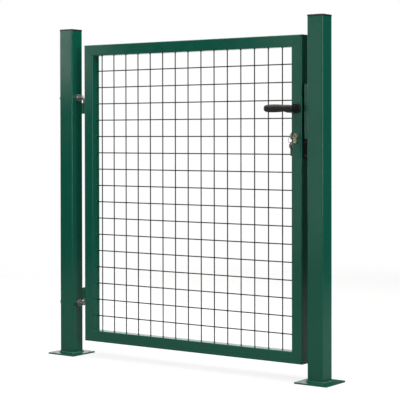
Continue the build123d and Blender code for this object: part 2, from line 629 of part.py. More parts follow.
# ================= profile cylinder =================
with BuildPart() as cylinder_body:
    with BuildSketch(Plane.XZ.offset(-CYL_HALF_Y)):
        with Locations((LOCK_X, CYL_Z)):
            Circle(CYL_R)
        with Locations((LOCK_X, CYL_Z - CYL_DROP / 2)):
            Rectangle(CYL_TAIL_W, CYL_DROP)
    extrude(amount=2 * CYL_HALF_Y)
    foot_edges = cylinder_body.edges().filter_by(Axis.Y).group_by(Axis.Z)[0]
    fillet(foot_edges, CYL_FOOT_R)
    with BuildSketch(Plane.XZ.offset(-CYL_HALF_Y)):
        with Locations((LOCK_X, CYL_Z)):
            Circle(PLUG_BORE_R)
    extrude(amount=2 * CYL_HALF_Y, mode=Mode.SUBTRACT)
    with BuildSketch(Plane.XZ.offset(-CAM_GAP)):
        with Locations((LOCK_X, CYL_Z + CYL_R - (CYL_R + CYL_DROP - BRIDGE_H) / 2)):
            Rectangle(3 * CYL_R, CYL_R + CYL_DROP - BRIDGE_H)
    extrude(amount=2 * CAM_GAP, mode=Mode.SUBTRACT)
    with BuildSketch(Plane.YZ.offset(LOCK_X - CYL_TAIL_W)):
        with Locations((0, CYL_Z - CYL_SCREW_DROP)):
            Circle(SCREW_R + SCREW_GAP / 2)
    extrude(amount=2 * CYL_TAIL_W, mode=Mode.SUBTRACT)
save(cylinder_body, "cylinder_body")


# plugs: bars along Y, each with a keyway open at its outer end
for side, face in (("front", -1), ("rear", 1)):
    plug_start = CAM_GAP + PLUG_GAP
    plug_len = CYL_HALF_Y + PLUG_PROUD - plug_start
    plug_plane = Plane(origin=(LOCK_X, face * plug_start, CYL_Z), x_dir=(1, 0, 0),
                       z_dir=(0, face, 0))
    with BuildPart() as plug:
        with BuildSketch(plug_plane):
            Circle(PLUG_R)
        extrude(amount=plug_len)
        with BuildSketch(plug_plane.offset(KEYWAY_BACK)):
            Rectangle(KEYWAY_W, KEYWAY_H)
        extrude(amount=plug_len, mode=Mode.SUBTRACT)
    save(plug, f"{side}_cylinder_plug")

with BuildPart() as cam:
    with BuildSketch(Plane.XZ.offset(-CAM_HALF_Y)):
        with Locations((LOCK_X, CYL_Z)):
            Circle(CAM_RING_R)
        with Locations((LOCK_X, CYL_Z - CAM_TIP_R / 2)):
            Rectangle(CAM_TOOTH_W, CAM_TIP_R)
    extrude(amount=2 * CAM_HALF_Y)
    fillet(cam.edges().filter_by(Axis.Y).group_by(Axis.Z)[0], CAM_TIP_ROUND)
save(cam, "cylinder_cam")

# ================= keys and ring =================
with BuildPart() as key:
    with BuildSketch(Plane.YZ.offset(LOCK_X - KEY_T / 2)):
        with Locations((KEY_BOW_Y, CYL_Z)):
            Circle(KEY_BOW_R)
        with Locations(((KEY_BOW_Y - KEY_SHOULDER) / 2, CYL_Z)):
            Rectangle(-KEY_SHOULDER - KEY_BOW_Y, KEY_NECK_H)
        with Locations((KEY_HOLE_Y, CYL_Z)):
            Circle(KEY_HOLE_R, mode=Mode.SUBTRACT)
    extrude(amount=KEY_T)
    with BuildSketch(Plane.YZ.offset(LOCK_X - KEY_BLADE_T / 2)):
        with Locations(((KEY_BLADE_END - KEY_SHOULDER - KEY_LAP) / 2, CYL_Z)):
            Rectangle(KEY_SHOULDER + KEY_LAP + KEY_BLADE_END, KEY_BLADE_H)
        # bitting cuts along the upper edge
        for n, depth in enumerate(KEY_CUTS):
            with Locations((KEY_BLADE_END - CUT_FIRST - CUT_PITCH * n, CYL_Z + KEY_BLADE_H / 2)):
                Rectangle(CUT_W, 2 * depth, mode=Mode.SUBTRACT)
    extrude(amount=KEY_BLADE_T)
save(key, "key_in_cylinder")

ring_top_z = CYL_Z - KEY_HOLE_R + RING_WIRE_R + HANG_GAP
with BuildPart() as key_ring:
    with Locations(Location((LOCK_X, KEY_HOLE_Y, ring_top_z - RING_R), (90, 0, 0))):
        Torus(RING_R, RING_WIRE_R)
save(key_ring, "key_ring")

spare_hole_z = ring_top_z - 2 * RING_R + RING_WIRE_R + HANG_GAP - KEY_HOLE_R
spare_bow_z = spare_hole_z - KEY_HOLE_IN
spare_tip_z = spare_bow_z - KEY_BOW_R - SPARE_BLADE + KEY_LAP
with BuildPart() as spare_key:
    with BuildSketch(Plane.YZ.offset(LOCK_X - KEY_T / 2)):
        with Locations((KEY_HOLE_Y, spare_bow_z)):
            Circle(KEY_BOW_R)
        with Locations((KEY_HOLE_Y, spare_hole_z)):
            Circle(KEY_HOLE_R, mode=Mode.SUBTRACT)
    extrude(amount=KEY_T)
    with BuildSketch(Plane.YZ.offset(LOCK_X - KEY_BLADE_T / 2)):
        with Locations((KEY_HOLE_Y, spare_bow_z - KEY_BOW_R - SPARE_BLADE / 2 + KEY_LAP)):
            Rectangle(KEY_BLADE_H, SPARE_BLADE)
        for n, depth in enumerate(SPARE_CUTS):
            with Locations((KEY_HOLE_Y + KEY_BLADE_H / 2, spare_tip_z + CUT_FIRST + CUT_PITCH * n)):
                Rectangle(2 * depth, CUT_W, mode=Mode.SUBTRACT)
    extrude(amount=KEY_BLADE_T)
save(spare_key, "spare_key")
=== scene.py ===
import math
import random

import bmesh
import bpy
from mathutils import Matrix, Vector


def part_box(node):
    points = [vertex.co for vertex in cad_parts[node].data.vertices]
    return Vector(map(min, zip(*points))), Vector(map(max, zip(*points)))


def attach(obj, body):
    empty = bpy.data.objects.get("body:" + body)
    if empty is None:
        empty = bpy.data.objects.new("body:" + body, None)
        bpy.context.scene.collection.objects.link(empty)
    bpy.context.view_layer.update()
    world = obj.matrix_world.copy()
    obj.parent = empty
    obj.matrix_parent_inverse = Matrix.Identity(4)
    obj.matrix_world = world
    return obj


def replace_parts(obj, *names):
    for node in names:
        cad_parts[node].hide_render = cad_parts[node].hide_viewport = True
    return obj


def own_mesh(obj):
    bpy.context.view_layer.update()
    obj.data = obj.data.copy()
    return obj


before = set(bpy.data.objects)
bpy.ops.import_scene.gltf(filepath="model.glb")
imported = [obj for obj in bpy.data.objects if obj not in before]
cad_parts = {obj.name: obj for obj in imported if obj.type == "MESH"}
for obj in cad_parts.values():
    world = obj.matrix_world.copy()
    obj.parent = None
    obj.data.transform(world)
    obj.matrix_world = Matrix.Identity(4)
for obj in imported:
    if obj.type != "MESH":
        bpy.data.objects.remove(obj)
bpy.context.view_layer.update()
random.seed(7)

MM = 0.001


def box_mm(node):
    """A frame part's lowest and highest corners, in millimetres."""
    low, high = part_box(node)
    return low / MM, high / MM


# ---- places taken from the frame, in millimetres ----
HINGE_POST_LOW, HINGE_POST_HIGH = box_mm("hinge_post")
LOCK_POST_LOW, LOCK_POST_HIGH = box_mm("lock_post")
PLATE_TOP = box_mm("hinge_post_base_plate")[1].z
LEAF_X0 = box_mm("hinge_stile")[0].x
LEAF_X1 = box_mm("lock_stile")[1].x
LEAF_Z0 = box_mm("bottom_rail")[0].z
LEAF_Z1 = box_mm("top_rail")[1].z
OPEN_X0 = box_mm("hinge_stile")[1].x
OPEN_X1 = box_mm("lock_stile")[0].x
OPEN_Z0 = box_mm("bottom_rail")[1].z
OPEN_Z1 = box_mm("top_rail")[0].z
FRAME_HALF = box_mm("top_rail")[1].y
FOREND_FACE_X = box_mm("lock_forend")[1].x
KEEP_LOW, KEEP_HIGH = box_mm("strike_keep")
POST_FACE_X = LOCK_POST_LOW.x

# ---- counts ----
UPRIGHTS = 15
CROSS_WIRES = 16

# ---- weld sizes, in millimetres ----
POST_CORNER = 4.0
FOOT_BEAD_R = 4.5
FOOT_BEAD_OUT = 0.4         # middle of the bead, from the face of the post
FOOT_BEAD_UP = 0.2          # middle of the bead, from the top of the plate
FOOT_BEAD_SIDES = 12
RIPPLE_PITCH = 3.0
# ring sizes through one ripple of a hand-laid bead, from its hollow over its crest
RIPPLE_SHAPE = (0.9, 1.04, 1.1, 1.02)
RIPPLE_STEPS = len(RIPPLE_SHAPE)
RIPPLE_UNEVEN = 0.04        # share by which one ripple differs from the next
# sizes of a straight bead at its first two and last two rings, where it starts and is drawn off
BEAD_START = (0.75, 0.95)
BEAD_END = (0.9, 0.45)
CROSSING_NUGGET = (2.7, 1.5, 2.7)
WIRE_END_NUGGET = (3.9, 3.6, 2.2)     # across the wire, through the leaf, along the wire
CORNER_BEAD_R = 2.6
CORNER_BEAD_IN = 3.0        # bead's ends, from the faces of the frame
SEAM_R = 2.0
SEAM_SIDES = 12
SEAM_START = 1.5            # first ring, from the inner corner
SEAM_SHORT = 4.5            # seam, shorter than the mitre
SEAM_STEPS = 24
SEAM_PROUD = 0.11           # share of its round height that a ground seam keeps
SLEEVE_BEAD_R = 2.4
SLEEVE_BEAD_IN = 1.5        # bead's ends, from the ends of the sleeve
SLEEVE_BEAD_Y = 10.0
SLEEVE_BEAD_OUT = 0.8
STITCH = 22.0
STITCH_R = 2.2
STITCHES = 4
STITCH_IN = 14.0            # first and last stitch, from the ends of the keep
STITCH_OUT = 0.4            # middle of a stitch, from the face of the post
STITCH_PROUD = 0.2          # middle of a stitch, from the side of the keep
TAB_ZS = (855.0, 965.0)
TAB_CLEAR = 34.0            # no stitch this near to the middle of a stop tab
TAB_STITCH = 30.0
TAB_STITCH_IN = 20.0        # tab stitch, from the outer end of the tabs
TAB_STITCH_PROUD = 0.1

# ---- bolt and screw sizes, in millimetres ----
BOLT_R = 8.0
BOLT_SIDES = 32
BOLT_BEND_R = 12.0
BEND_STEPS = 10
BOLT_END_SIZE = 0.72        # chamfered shank end, as a share of the bolt's size
BOLT_END_CHAMFER = 1.3
PIN_END_SIZE = 0.81
PIN_END_CHAMFER = 1.5
THREAD_ROOT_R = 6.8
THREAD_PITCH = 2.0
THREAD_STEPS = 20
THREAD_RUN_OUT = 1.6        # taper from the thread's root up to the plain rod
THREAD_STOP = 5.0           # end of the thread, from the start of the bend
THREAD_RIDGE_TOP = 0.2      # half the width of the ridge's top
THREAD_RIDGE_FOOT = 0.95    # half the width of the ridge's foot
THREAD_SUNK = 0.3           # foot of the ridge, under the root
THREAD_SHY = 0.05           # top of the ridge, under the bolt's full size
END_THREAD_X, END_THREAD_TURNS = 1.2, 3           # outer thread, from the end of the shank
INNER_THREAD_X, INNER_THREAD_TURNS = 11.5, 4      # inner thread, from the post's inner face
SCREW_HEAD_R = 4.6
PLATE_SCREW_LENGTH = 16.0
SCREW_SIDES = 24
SCREW_SHANK_R = 2.4
# the turned outline of a screw: distance behind the forend's face, and radius
SCREW_HEAD_OUTLINE = ((-2.25, SCREW_SHANK_R), (-0.25, 4.5), (-0.05, 4.4), (-0.05, 2.2),
                      (-1.7, 1.2), (-1.7, 0.0))
CROSS_DEPTH = 1.8
CROSS_REACH = (1.0, 2.4)    # rings of the recess that are drawn in between the arms of the cross
CROSS_GAP = (20, 70)        # degrees between two arms
CROSS_DRAWN_IN = 0.42

# ---- spring and key sizes, in millimetres ----
SPRING_WIRE_R = 0.5
SPRING_TURNS = 8
SPRING_STEPS = 20
SPRING_SIDES = 8
RIM_RS = (10.3, 7.6)
RIM_WIRE_R = 0.42
RIM_WIRE_SIDES = 8
RIM_STEPS = 40

# ---- floor and light: metres, and shares ----
FLOOR_R = 4.2
FLOOR_FADE = (0.62, 0.98)   # where the floor starts and ends fading, as shares of its radius
FLOOR_GLOW = 1.4            # brightness the camera sees laid over the floor
FLOOR_VEIL = 0.45           # share of that glow where the camera looks
FLOOR_DIM = 0.57            # share of the floor's own light kept back from the object
BACKDROP = 1.0              # brightness behind the object, as the camera sees it
SURROUND = 0.06             # brightness of the studio round the object

# ---- camera: millimetres for the lens and film, metres and radians for its place ----
CAMERA_LENS = 123.43
CAMERA_FILM = 36.0
CAMERA_SHIFT_Y = -0.12
CAMERA_REACH = 100.0
CAMERA_PLACE = (2.8692, -3.9039, 0.8200)
CAMERA_TURN = (math.radians(90.0) - 0.0122, 0.00168, 0.62449)


# ================= making pieces =================
def finished(bm, name, body, slot, crease=35.0):
    """Turn a bmesh in millimetres into a piece that rides on a body and takes a slot's finish."""
    bmesh.ops.remove_doubles(bm, verts=bm.verts, dist=0.002)
    bmesh.ops.recalc_face_normals(bm, faces=bm.faces)
    bmesh.ops.scale(bm, vec=(MM, MM, MM), verts=bm.verts)
    mesh = bpy.data.meshes.new(name)
    bm.to_mesh(mesh)
    bm.free()
    mesh.shade_smooth()
    mesh.set_sharp_from_angle(angle=math.radians(crease))
    piece = bpy.data.objects.new(name, mesh)
    bpy.context.scene.collection.objects.link(piece)
    mesh.materials.append(FINISHES[slot])
    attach(piece, body)
    return piece


def ring_at(bm, centre, direction, radius, sides=10):
    """An open circle of edges around a point, square to a direction."""
    turn = Vector(direction).to_track_quat("Z", "Y").to_matrix().to_4x4()
    made = bmesh.ops.create_circle(bm, cap_ends=False, segments=sides, radius=radius,
                                   matrix=Matrix.Translation(centre) @ turn)
    return list({e for v in made["verts"] for e in v.link_edges})


def carry(bm, ring, moves):
    """Extrude a ring through small moves; each move is a matrix and the ring's size after it."""
    size = 1.0
    for move, new_size in moves:
        grown = bmesh.ops.extrude_edge_only(bm, edges=ring)["geom"]
        verts = [g for g in grown if isinstance(g, bmesh.types.BMVert)]
        ring = [g for g in grown if isinstance(g, bmesh.types.BMEdge)
                and all(v in verts for v in g.verts)]
        bmesh.ops.transform(bm, matrix=move, verts=verts)
        centre = sum((v.co for v in verts), Vector()) / len(verts)
        k = new_size / size
        bmesh.ops.scale(bm, vec=(k, k, k), space=Matrix.Translation(-centre), verts=verts)
        size = new_size
    return ring


def turn_about(point, axis, degrees):
    """A turn about an axis through a point."""
    return (Matrix.Translation(point) @ Matrix.Rotation(math.radians(degrees), 4, axis)
            @ Matrix.Translation(-Vector(point)))


def rippled(count):
    """Ring sizes along a bead, each ripple a little larger or smaller than the last."""
    sizes = []
    while len(sizes) < count:
        uneven = random.uniform(1 - RIPPLE_UNEVEN, 1 + RIPPLE_UNEVEN)
        sizes += [uneven * size for size in RIPPLE_SHAPE]
    return sizes[:count]


def weld_run(bm, start, end, radius, sides=10):
    """A straight rippled bead with rounded ends."""
    start, end = Vector(start), Vector(end)
    count = max(4, round((end - start).length * RIPPLE_STEPS / RIPPLE_PITCH))
    step = Matrix.Translation((end - start) / count)
    sizes = rippled(count)
    sizes[:2], sizes[-2:] = BEAD_START, BEAD_END
    first = ring_at(bm, start, end - start, 0.5 * radius, sides)
    last = carry(bm, first, [(step, 2.0 * s) for s in sizes])
    bmesh.ops.holes_fill(bm, edges=first + last, sides=sides)


# ================= colours and node helper =================
def srgb(code):
    """A hex colour as linear red, green, blue and alpha."""
    parts = [int(code[i:i + 2], 16) / 255 for i in (1, 3, 5)]
    return [c / 12.92 if c <= 0.04045 else ((c + 0.055) / 1.055) ** 2.4 for c in parts] + [1.0]


def add(tree, kind, settings=(), inputs=()):
    """Add one node, set its settings, and fill or link its inputs."""
    made = tree.nodes.new(kind)
    for key, value in dict(settings).items():
        setattr(made, key, value)
    for key, value in dict(inputs).items():
        if isinstance(value, bpy.types.NodeSocket):
            tree.links.new(value, made.inputs[key])
        else:
            made.inputs[key].default_value = value
    return made


def per_mm(size):
    """Pattern scale for Object coordinates in metres that gives features of this size."""
    return 1.0 / (size * MM)


def surface(name):
    """An empty material and its node tree."""
    made = bpy.data.materials.new(name)
    made.use_nodes = True
    made.node_tree.nodes.clear()
    return made, made.node_tree


def powder_coat(name, deep, light, peel, peel_depth, rough_low, rough_high):
    """Polyester powder coat baked on steel: an even gloss with a faint orange peel, and a colour
    that drifts a little where the film is thicker."""
    made, tree = surface(name)
    place = add(tree, "ShaderNodeTexCoord").outputs["Object"]
    drift = add(tree, "ShaderNodeTexNoise",
                inputs={"Vector": place, "Scale": per_mm(260), "Detail": 2.0})
    film = add(tree, "ShaderNodeMix", {"data_type": "RGBA"},
               {"Factor": drift.outputs["Fac"], "A": srgb(deep), "B": srgb(light)})
    haze = add(tree, "ShaderNodeTexNoise",
               inputs={"Vector": place, "Scale": per_mm(55), "Detail": 4.0})
    gloss = add(tree, "ShaderNodeMapRange", inputs={
        "Value": haze.outputs["Fac"], "From Min": 0.3, "From Max": 0.7,
        "To Min": rough_low, "To Max": rough_high})
    skin = add(tree, "ShaderNodeTexNoise",
               inputs={"Vector": place, "Scale": per_mm(peel), "Detail": 1.5})
    bump = add(tree, "ShaderNodeBump", inputs={
        "Height": skin.outputs["Fac"], "Strength": 0.35, "Distance": peel_depth * MM})
    coat = add(tree, "ShaderNodeBsdfPrincipled", inputs={
        "Base Color": film.outputs[2], "Roughness": gloss.outputs["Result"], "IOR": 1.5,
        "Normal": bump.outputs["Normal"]})
    add(tree, "ShaderNodeOutputMaterial", inputs={"Surface": coat.outputs["BSDF"]})
    return made


def plated_metal(name, bright, dull, patch, rough_low, rough_high, scratch=0.0,
                 along=(1.0, 1.0, 1.0)):
    """Plated or bare metal: patches of brighter and duller metal, and drawn scratches, which are
    coarser than real ones so that they show."""
    made, tree = surface(name)
    place = add(tree, "ShaderNodeTexCoord").outputs["Object"]
    patches = add(tree, "ShaderNodeTexNoise",
                  inputs={"Vector": place, "Scale": per_mm(patch), "Detail": 5.0})
    shade = add(tree, "ShaderNodeMix", {"data_type": "RGBA"},
                {"Factor": patches.outputs["Fac"], "A": srgb(bright), "B": srgb(dull)})
    dullness = add(tree, "ShaderNodeMapRange", inputs={
        "Value": patches.outputs["Fac"], "From Min": 0.3, "From Max": 0.7,
        "To Min": rough_low, "To Max": rough_high})
    drawn = add(tree, "ShaderNodeMapping", inputs={"Vector": place, "Scale": along})
    lines = add(tree, "ShaderNodeTexNoise",
                inputs={"Vector": drawn.outputs["Vector"], "Scale": per_mm(0.5), "Detail": 3.0})
    bump = add(tree, "ShaderNodeBump", inputs={
        "Height": lines.outputs["Fac"], "Strength": 0.4, "Distance": scratch * MM})
    metal = add(tree, "ShaderNodeBsdfPrincipled", inputs={
        "Base Color": shade.outputs[2], "Metallic": 1.0, "Roughness": dullness.outputs["Result"],
        "Normal": bump.outputs["Normal"]})
    add(tree, "ShaderNodeOutputMaterial", inputs={"Surface": metal.outputs["BSDF"]})
    return made


def moulded(name, dark, worn, grain, grain_depth, rough_low, rough_high, ior):
    """Moulded plastic or rubber: spark-eroded grain and slightly rubbed patches. The real grain is
    about 0.1 mm and is drawn coarser, so that it shows."""
    made, tree = surface(name)
    place = add(tree, "ShaderNodeTexCoord").outputs["Object"]
    rubbed = add(tree, "ShaderNodeTexNoise",
                 inputs={"Vector": place, "Scale": per_mm(18), "Detail": 3.0})
    shade = add(tree, "ShaderNodeMix", {"data_type": "RGBA"},
                {"Factor": rubbed.outputs["Fac"], "A": srgb(dark), "B": srgb(worn)})
    dullness = add(tree, "ShaderNodeMapRange", inputs={
        "Value": rubbed.outputs["Fac"], "From Min": 0.3, "From Max": 0.7,
        "To Min": rough_low, "To Max": rough_high})
    pores = add(tree, "ShaderNodeTexVoronoi", inputs={"Vector": place, "Scale": per_mm(grain)})
    bump = add(tree, "ShaderNodeBump", inputs={
        "Height": pores.outputs["Distance"], "Strength": 0.3, "Distance": grain_depth * MM})
    plastic = add(tree, "ShaderNodeBsdfPrincipled", inputs={
        "Base Color": shade.outputs[2], "Roughness": dullness.outputs["Result"], "IOR": ior,
        "Normal": bump.outputs["Normal"]})
    add(tree, "ShaderNodeOutputMaterial", inputs={"Surface": plastic.outputs["BSDF"]})
    return made


FINISHES = {
    # moss green polyester powder coat, glossy, on the posts and the leaf frame
    "green_coat": powder_coat("moss_green_powder_coat", "#055A46", "#08644F",
                              3.0, 0.03, 0.14, 0.22),
    # the same coat on the flat-cut plates, a little flatter from the grit blast under it
    "plate_coat": powder_coat("powder_coat_on_cut_plate", "#0A5A47", "#106652",
                              3.5, 0.04, 0.16, 0.26),
    # thin coat on drawn wire, darker and greyer than on the tubes
    "mesh_coat": powder_coat("powder_coat_on_drawn_wire", "#12261F", "#1B3229",
                             1.5, 0.03, 0.28, 0.4),
    # zinc plated and clear passivated bolts and nuts: pale grey metal with soft cloudy patches
    "zinc": plated_metal("clear_passivated_zinc", "#BDBDB6", "#9D9D96", 7.0, 0.34, 0.5, 0.01),
    # bright zinc on small screws, in small random bright and dull patches; the real plating is
    # thinner and duller in the recess
    "screw_zinc": plated_metal("zinc_plated_screw", "#BDBDBA", "#96968F", 3.0, 0.28, 0.45, 0.01),
    # galvanised sheet of the lock case, with its large frosty spangle
    "case_steel": plated_metal("galvanised_lock_case", "#B8BABB", "#989B9D", 12.0, 0.3, 0.5, 0.01),
    # nickel plated sintered steel latch and dead bolt
    "lock_steel": plated_metal("nickel_plated_lock_steel", "#BFBDB6", "#A5A39C",
                               9.0, 0.2, 0.34, 0.01, (0.1, 1.0, 1.0)),
    # hard drawn spring wire, a smooth blue-grey that catches light along each turn
    "spring_steel": plated_metal("blued_spring_steel", "#8C8E90", "#6E7072", 2.0, 0.25, 0.4, 0.0),
    # satin nickel on the brass cylinder: warm pale beige metal, drawn lengthways
    "cylinder_nickel": plated_metal("satin_nickel_cylinder", "#EFE6CD", "#D9CFB4",
                                    8.0, 0.4, 0.52, 0.004, (1.0, 0.1, 1.0)),
    # the plug is the same metal, polished a little more by the key
    "plug_brass": plated_metal("satin_nickel_plug", "#E8DDBF", "#CFC3A2", 4.0, 0.34, 0.46, 0.004,
                               (1.0, 0.2, 1.0)),
    # stamped nickel silver keys: pale warm grey, dulled by handling
    "key_nickel": plated_metal("nickel_silver_key", "#C9C3B2", "#AEA794", 5.0, 0.3, 0.44, 0.002,
                               (1.0, 0.15, 1.0)),
    # nickel plated split ring, the brightest metal here
    "ring_steel": plated_metal("nickel_plated_ring_wire", "#C8C8C5", "#ABABA6",
                               3.0, 0.14, 0.26, 0.0),
    # black zinc-nickel on the forend, slightly blue
    "forend_black": moulded("black_passivated_forend", "#101217", "#1A1D22",
                            1.2, 0.01, 0.3, 0.42, 1.6),
    # glass-filled nylon levers and roses, satin black
    "lever_black": moulded("satin_black_nylon_lever", "#181712", "#24221D",
                           0.9, 0.012, 0.28, 0.4, 1.53),
    # the same nylon on the roses, a little darker than on the levers
    "rose_black": moulded("satin_black_nylon_rose", "#0D0D0B", "#151411",
                          0.9, 0.012, 0.32, 0.44, 1.53),
    # polyethylene post caps, smooth and a little waxy
    "cap_plastic": moulded("black_polyethylene_cap", "#1C211F", "#272D2A",
                           1.5, 0.015, 0.24, 0.36, 1.51),
    # moulded buffer rubber: matt and slightly dusty
    "rubber": moulded("black_buffer_rubber", "#161616", "#222221", 0.8, 0.03, 0.7, 0.85, 1.52),
}

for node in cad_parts.values():
    for held in node.material_slots:
        held.material = FINISHES[held.material.name]


# ================= welds at the feet of the posts =================
def foot_bead(post_low, post_high, name, node):
    """A rippled bead that runs once round the foot of a post, standing for its plain collar."""
    bm = bmesh.new()
    mid = (post_low + post_high) / 2
    reach = (post_high.x - post_low.x) / 2
    straight = reach - POST_CORNER
    root = reach + FOOT_BEAD_OUT
    z = PLATE_TOP + FOOT_BEAD_UP
    start = Vector((mid.x - straight, mid.y - root, z))
    run_steps = round(2 * straight / RIPPLE_PITCH) * RIPPLE_STEPS
    corner_steps = 2 * RIPPLE_STEPS
    ring = ring_at(bm, start, (1, 0, 0), FOOT_BEAD_R, FOOT_BEAD_SIDES)
    moves = []
    for side in range(4):
        heading = Matrix.Rotation(side * math.pi / 2, 4, "Z") @ Vector((1, 0, 0))
        step = Matrix.Translation(heading * (2 * straight / run_steps))
        corner = Matrix.Rotation(side * math.pi / 2, 4, "Z") @ Vector((straight, -straight, 0))
        corner = Vector((mid.x + corner.x, mid.y + corner.y, z))
        moves += [step] * run_steps + [turn_about(corner, "Z", 90 / corner_steps)] * corner_steps
    sizes = rippled(len(moves) - 1) + [1.0]
    carry(bm, ring, list(zip(moves, sizes)))
    piece = finished(bm, name, "posts", "green_coat", 60.0)
    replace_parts(piece, node)


foot_bead(HINGE_POST_LOW, HINGE_POST_HIGH, "hinge_post_foot_bead", "hinge_post_foot_weld")
foot_bead(LOCK_POST_LOW, LOCK_POST_HIGH, "lock_post_foot_bead", "lock_post_foot_weld")


# ================= welds of the leaf frame and the mesh =================
def spaced(low, high, count):
    """Evenly spaced places from low to high."""
    return [low + (high - low) * i / (count - 1) for i in range(count)]


wire_low, wire_high = box_mm("mesh_vertical_wires")
WIRE_R = (wire_high.y - wire_low.y) / 2
rung_low, rung_high = box_mm("mesh_horizontal_wires")
WIRE_XS = spaced(wire_low.x + WIRE_R, wire_high.x - WIRE_R, UPRIGHTS)
RUNG_ZS = spaced(rung_low.z + WIRE_R, rung_high.z - WIRE_R, CROSS_WIRES)
UPRIGHT_Y = (wire_low.y + wire_high.y) / 2
RUNG_Y = (rung_low.y + rung_high.y) / 2


def nugget(bm, centre, size):
    """A small squeezed ball of weld metal."""
    bmesh.ops.create_uvsphere(bm, u_segments=8, v_segments=5, radius=1.0,
                              matrix=Matrix.Translation(centre) @ Matrix.Diagonal((*size, 1.0)))


crossings = bmesh.new()
for wire_x in WIRE_XS:
    for rung_z in RUNG_ZS:
        nugget(crossings, (wire_x, 0.0, rung_z), CROSSING_NUGGET)
finished(crossings, "mesh_crossing_welds", "leaf", "mesh_coat", 80.0)

wire_ends = bmesh.new()
for wire_x in WIRE_XS:
    for end_z in (OPEN_Z0, OPEN_Z1):
        nugget(wire_ends, (wire_x, UPRIGHT_Y, end_z), WIRE_END_NUGGET)
for rung_z in RUNG_ZS:
    for end_x in (OPEN_X0, OPEN_X1):
        nugget(wire_ends, (end_x, RUNG_Y, rung_z), WIRE_END_NUGGET[::-1])
finished(wire_ends, "mesh_end_welds", "leaf", "green_coat", 80.0)


def corner_welds():
    """Beads in the four inner corners of the leaf frame, and the ground mitre seams."""
    inner = bmesh.new()
    seams = bmesh.new()
    for corner_x, far_x in ((OPEN_X0, LEAF_X0), (OPEN_X1, LEAF_X1)):
        for corner_z, far_z in ((OPEN_Z0, LEAF_Z0), (OPEN_Z1, LEAF_Z1)):
            weld_run(inner, (corner_x, -FRAME_HALF + CORNER_BEAD_IN, corner_z),
                     (corner_x, FRAME_HALF - CORNER_BEAD_IN, corner_z), CORNER_BEAD_R)
            for face in (-1, 1):
                start = Vector((corner_x, face * FRAME_HALF, corner_z))
                end = Vector((far_x, face * FRAME_HALF, far_z))
                inward = (end - start).normalized()
                ring = ring_at(seams, start + SEAM_START * inward, inward, SEAM_R, SEAM_SIDES)
                run = (end - start).length - SEAM_SHORT
                step = Matrix.Translation(inward * run / SEAM_STEPS)
                last = carry(seams, ring, [
                    (step, 1.0 + random.uniform(-RIPPLE_UNEVEN, RIPPLE_UNEVEN))
                    for _ in range(SEAM_STEPS)])
                bmesh.ops.holes_fill(seams, edges=ring + last, sides=SEAM_SIDES)
    flatten = Matrix.Diagonal((1.0, SEAM_PROUD, 1.0, 1.0))
    for face in (-1, 1):
        at = Matrix.Translation((0, face * FRAME_HALF, 0))
        bmesh.ops.transform(seams, matrix=at @ flatten @ at.inverted(),
                            verts=[v for v in seams.verts if v.co.y * face > 0])
    finished(inner, "frame_corner_welds", "leaf", "green_coat", 60.0)
    finished(seams, "frame_mitre_seams", "leaf", "green_coat", 60.0)


corner_welds()


# ================= hinges =================
def hook_bolt(name, node, sleeve_node):
    """A bent hook bolt: threaded shank, plain bend and upright pin, standing for the plain rod."""
    low, high = box_mm(node)
    sleeve_low = box_mm(sleeve_node)[0]
    up = 1 if low.z < sleeve_low.z else -1
    pin_x = high.x - BOLT_R
    shank_z = low.z + BOLT_R if up > 0 else high.z - BOLT_R
    pin_end = high.z if up > 0 else low.z
    bend_x = pin_x - BOLT_BEND_R
    thread_end = bend_x - THREAD_STOP
    bm = bmesh.new()
    ring = ring_at(bm, (low.x, 0, shank_z), (1, 0, 0), BOLT_R, BOLT_SIDES)
    root = THREAD_ROOT_R / BOLT_R
    stages = [(0, BOLT_END_SIZE), (BOLT_END_CHAMFER, root),
              (thread_end - low.x - BOLT_END_CHAMFER, root),
              (THREAD_RUN_OUT, 1.0), (bend_x - thread_end - THREAD_RUN_OUT, 1.0)]
    moves = [(Matrix.Translation((along, 0, 0)), size) for along, size in stages]
    elbow = Vector((bend_x, 0, shank_z + up * BOLT_BEND_R))
    moves += [(turn_about(elbow, "Y", -up * 90 / BEND_STEPS), 1.0)] * BEND_STEPS
    rise = abs(pin_end - shank_z) - BOLT_BEND_R
    moves += [(Matrix.Translation((0, 0, up * (rise - PIN_END_CHAMFER))), 1.0),
              (Matrix.Translation((0, 0, up * PIN_END_CHAMFER)), PIN_END_SIZE)]
    last = carry(bm, ring, moves)
    bmesh.ops.holes_fill(bm, edges=last, sides=BOLT_SIDES)
    bmesh.ops.holes_fill(bm, edges=[e for e in bm.edges if e.is_boundary], sides=BOLT_SIDES)

    def thread(start_x, turns):
        """A helical ridge of a coarse thread."""
        foot_r, top_r = THREAD_ROOT_R - THREAD_SUNK, BOLT_R - THREAD_SHY
        flanks = [bm.verts.new((start_x + x, 0, shank_z + r))
                  for x, r in ((-THREAD_RIDGE_FOOT, foot_r), (-THREAD_RIDGE_TOP, top_r),
                               (THREAD_RIDGE_TOP, top_r), (THREAD_RIDGE_FOOT, foot_r))]
        edges = [bm.edges.new(pair) for pair in zip(flanks, flanks[1:])]
        bmesh.ops.spin(bm, geom=flanks + edges, cent=(start_x, 0, shank_z), axis=(1, 0, 0),
                       dvec=(THREAD_PITCH / THREAD_STEPS, 0, 0), angle=2 * math.pi * turns,
                       steps=THREAD_STEPS * turns, use_merge=False)

    thread(low.x + END_THREAD_X, END_THREAD_TURNS)
    thread(HINGE_POST_HIGH.x + INNER_THREAD_X, INNER_THREAD_TURNS)
    piece = finished(bm, name, "posts", "zinc", 40.0)
    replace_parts(piece, node)


hook_bolt("upper_hook_bolt", "upper_hinge_bolt", "upper_hinge_sleeve")
hook_bolt("lower_hook_bolt", "lower_hinge_bolt", "lower_hinge_sleeve")

